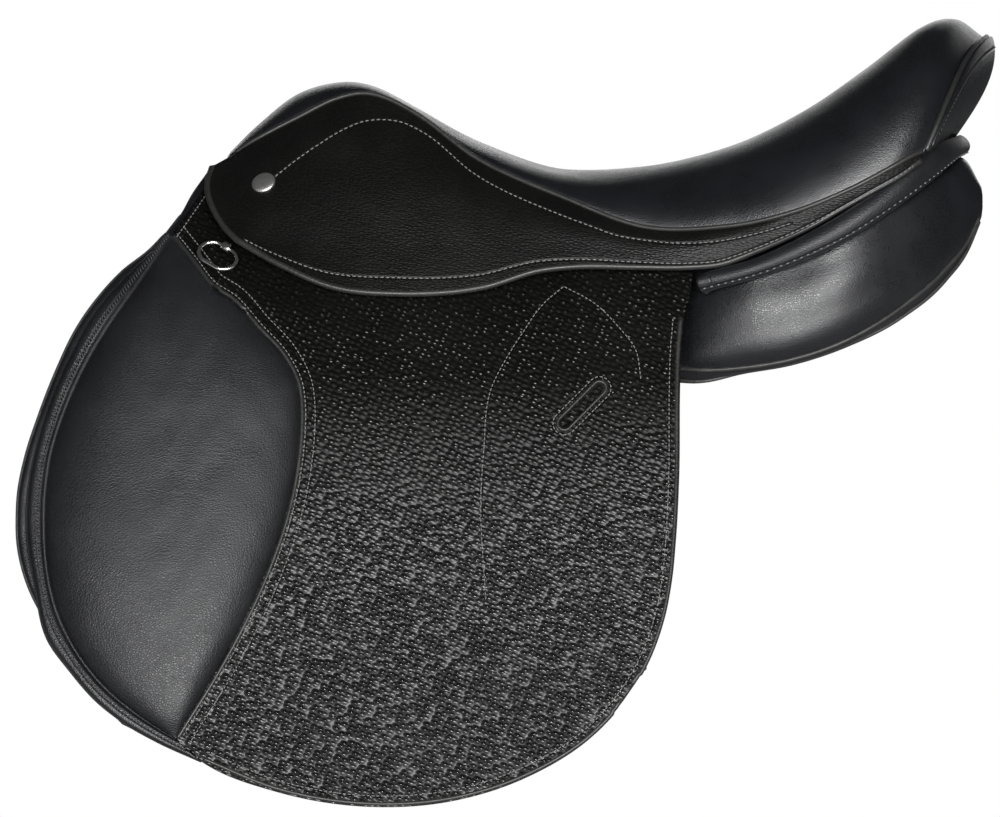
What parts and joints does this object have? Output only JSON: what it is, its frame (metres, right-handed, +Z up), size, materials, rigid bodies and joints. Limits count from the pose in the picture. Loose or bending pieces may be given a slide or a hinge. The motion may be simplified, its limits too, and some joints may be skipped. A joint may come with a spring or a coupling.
{
  "type": "pony saddle",
  "caption": "English jumping saddle for a pony: padded seat, forward flaps with knee pads, lifting skirts over stirrup bars, and stuffed panels.",
  "frame": {"origin": "on the middle plane at the level where the panels bear, under the middle of the seat", "axes": "+X towards the cantle, +Y towards the off (right) side, +Z up"},
  "size_m": [0.5401, 0.3646, 0.433],
  "materials": {
    "smooth_calf": "smooth grain, satin",
    "printed_leather": "pebble print, semi-matte",
    "lining_calf": "smooth grain, semi-matte",
    "strap_hide": "bridle hide, semi-matte",
    "tree_plastic": "moulded, matte",
    "webbing": "woven, matte",
    "foam": "felted foam, matte",
    "bright_nickel": "polished nickel",
    "forged_steel": "satin"
  },
  "bodies": {
    "saddle": {"seat_cover": "smooth_calf", "seat_foam": "foam", "tree": "tree_plastic", "straining_web": "webbing", "cantle_welt": "smooth_calf", "cantle_back": "smooth_calf", "rear_facing": "smooth_calf", "channel_lining": "lining_calf", "pommel_facing": "smooth_calf", "head_iron": "forged_steel", "flap_top_left": "printed_leather", "knee_pad_top_left": "smooth_calf", "sweat_flap_left": "lining_calf", "skirt_top_left": "printed_leather", "panel_left": "smooth_calf", "stirrup_bar_left": "forged_steel", "bar_rivet_front_left": "forged_steel", "bar_rivet_rear_left": "forged_steel", "catch_pin_left": "forged_steel", "dee_staple_left": "bright_nickel", "stud_left": "bright_nickel", "girth_web_left": "webbing", "knee_block_left": "foam", "point_pocket_left": "strap_hide", "flap_top_right": "printed_leather", "knee_pad_top_right": "smooth_calf", "sweat_flap_right": "lining_calf", "skirt_top_right": "printed_leather", "panel_right": "smooth_calf", "stirrup_bar_right": "forged_steel", "bar_rivet_front_right": "forged_steel", "bar_rivet_rear_right": "forged_steel", "catch_pin_right": "forged_steel", "dee_staple_right": "bright_nickel", "stud_right": "bright_nickel", "girth_web_right": "webbing", "knee_block_right": "foam", "point_pocket_right": "strap_hide"},
    "flap_left": {"flap_left": "printed_leather", "flap_lining_left": "lining_calf", "knee_pad_left": "smooth_calf"},
    "skirt_left": {"skirt_left": "printed_leather"},
    "girth_straps_left": {"girth_strap_front_left": "strap_hide", "girth_strap_middle_left": "strap_hide", "girth_strap_rear_left": "strap_hide", "buckle_guard_left": "strap_hide"},
    "bar_catch_left": {"bar_catch_left": "forged_steel"},
    "dee_ring_left": {"dee_ring_left": "bright_nickel"},
    "flap_right": {"flap_right": "printed_leather", "flap_lining_right": "lining_calf", "knee_pad_right": "smooth_calf"},
    "skirt_right": {"skirt_right": "printed_leather"},
    "girth_straps_right": {"girth_strap_front_right": "strap_hide", "girth_strap_middle_right": "strap_hide", "girth_strap_rear_right": "strap_hide", "buckle_guard_right": "strap_hide"},
    "bar_catch_right": {"bar_catch_right": "forged_steel"},
    "dee_ring_right": {"dee_ring_right": "bright_nickel"}
  },
  "joints": [
    {"name": "flap_left_hinge", "type": "hinge", "parent": "saddle", "child": "flap_left", "pos_m": [0, -0.112, 0.05], "axis": [-1, 0, 0], "range_deg": [0, 95]},
    {"name": "skirt_left_hinge", "type": "hinge", "parent": "saddle", "child": "skirt_left", "pos_m": [-0.2156, -0.0645, 0.108], "axis": [-0.9849, 0.1416, 0.0993], "range_deg": [0, 70]},
    {"name": "girth_straps_left_hinge", "type": "hinge", "parent": "saddle", "child": "girth_straps_left", "pos_m": [-0.01, -0.083, 0.062], "axis": [-1, 0, 0], "range_deg": [0, 2.5]},
    {"name": "bar_catch_left_hinge", "type": "hinge", "parent": "saddle", "child": "bar_catch_left", "pos_m": [-0.0862, -0.0663, 0.09769], "axis": [0, -0.6807, -0.7326], "range_deg": [0, 35]},
    {"name": "dee_ring_left_hinge", "type": "hinge", "parent": "saddle", "child": "dee_ring_left", "pos_m": [-0.20392, -0.08215, 0.07669], "axis": [-0.7931, 0.3839, 0.4729], "range_deg": [0, 110]},
    {"name": "flap_right_hinge", "type": "hinge", "parent": "saddle", "child": "flap_right", "pos_m": [0, 0.112, 0.05], "axis": [1, 0, 0], "range_deg": [0, 95]},
    {"name": "skirt_right_hinge", "type": "hinge", "parent": "saddle", "child": "skirt_right", "pos_m": [-0.2156, 0.0645, 0.108], "axis": [0.9849, 0.1416, -0.0993], "range_deg": [0, 70]},
    {"name": "girth_straps_right_hinge", "type": "hinge", "parent": "saddle", "child": "girth_straps_right", "pos_m": [-0.01, 0.083, 0.062], "axis": [1, 0, 0], "range_deg": [0, 2.5]},
    {"name": "bar_catch_right_hinge", "type": "hinge", "parent": "saddle", "child": "bar_catch_right", "pos_m": [-0.0862, 0.0663, 0.09769], "axis": [0, -0.6807, 0.7326], "range_deg": [0, 35]},
    {"name": "dee_ring_right_hinge", "type": "hinge", "parent": "saddle", "child": "dee_ring_right", "pos_m": [-0.20392, 0.08215, 0.07669], "axis": [0.7931, 0.3839, -0.4729], "range_deg": [0, 110]}
  ]
}
